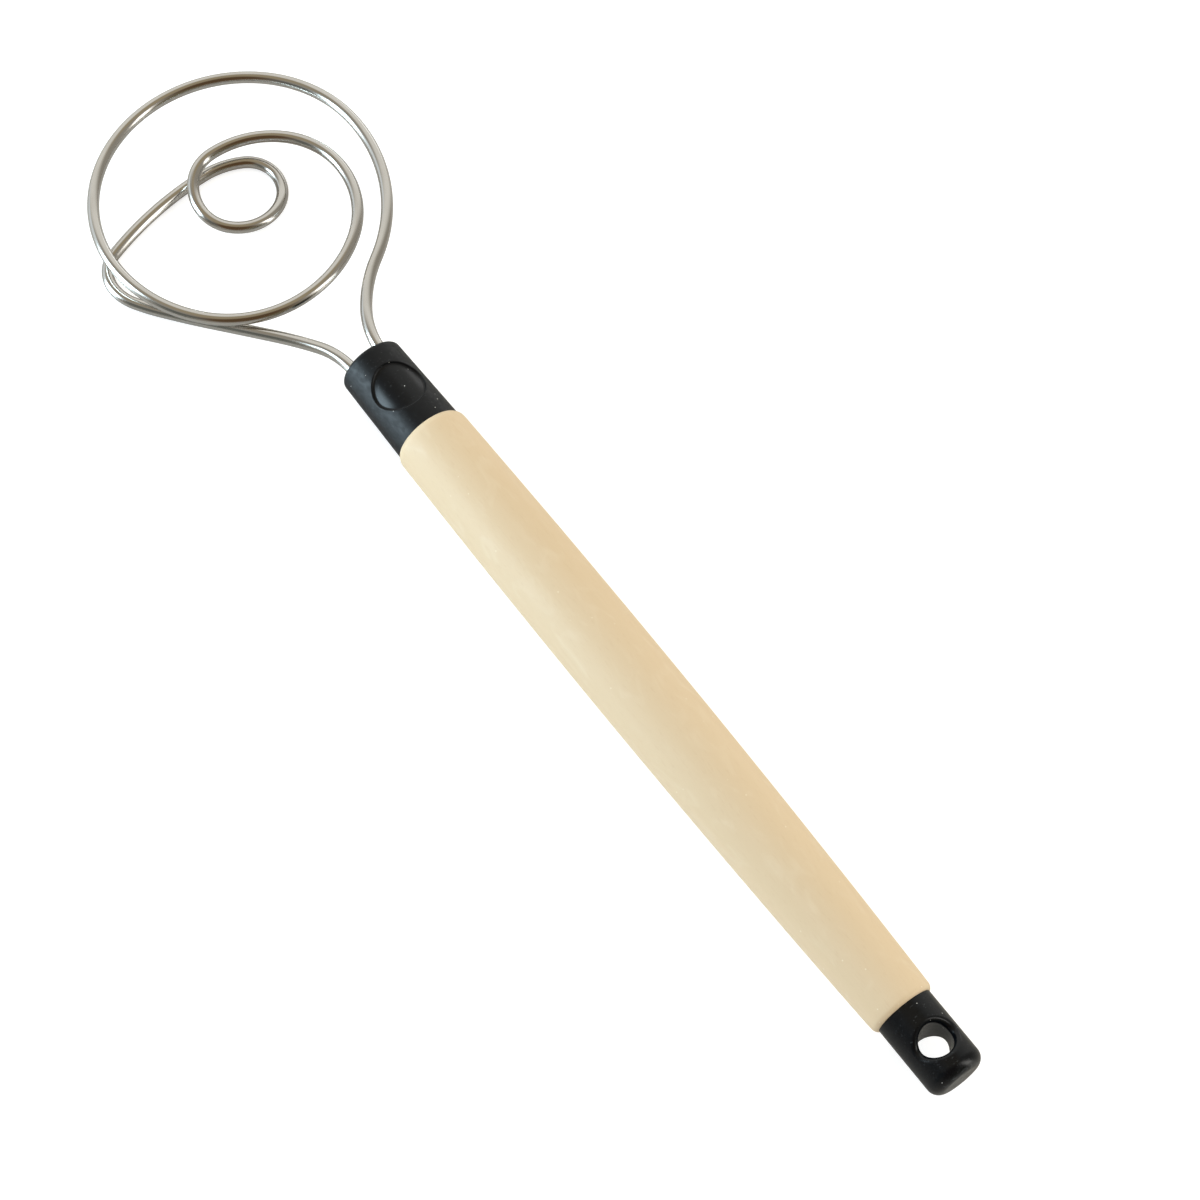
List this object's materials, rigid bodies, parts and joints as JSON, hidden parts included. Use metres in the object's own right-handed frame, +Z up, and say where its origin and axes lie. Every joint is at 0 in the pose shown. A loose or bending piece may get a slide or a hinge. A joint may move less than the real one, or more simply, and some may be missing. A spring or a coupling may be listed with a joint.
{
  "type": "dough whisk",
  "caption": "Dough whisk: one stainless wire bent into nested open loops, set in a black collar on a barrel-shaped pale wooden grip with a black end cap and hanging hole.",
  "frame": {"origin": "middle of the hanging hole, on the handle's axis", "axes": "+X along the handle towards the wire head, +Y to the left of it, +Z up along the hanging hole"},
  "size_m": [0.3505, 0.0843, 0.022],
  "materials": {
    "stainless_wire": "polished",
    "black_nylon": "satin",
    "lacquered_beech": "satin",
    "cured_epoxy": "gloss"
  },
  "bodies": {
    "root": {"whisk_wire": "stainless_wire", "wire_collar": "black_nylon", "wooden_grip": "lacquered_beech", "end_cap": "black_nylon", "collar_glue": "cured_epoxy", "cap_glue": "cured_epoxy", "right_leg_epoxy": "cured_epoxy", "left_leg_epoxy": "cured_epoxy"}
  },
  "joints": []
}
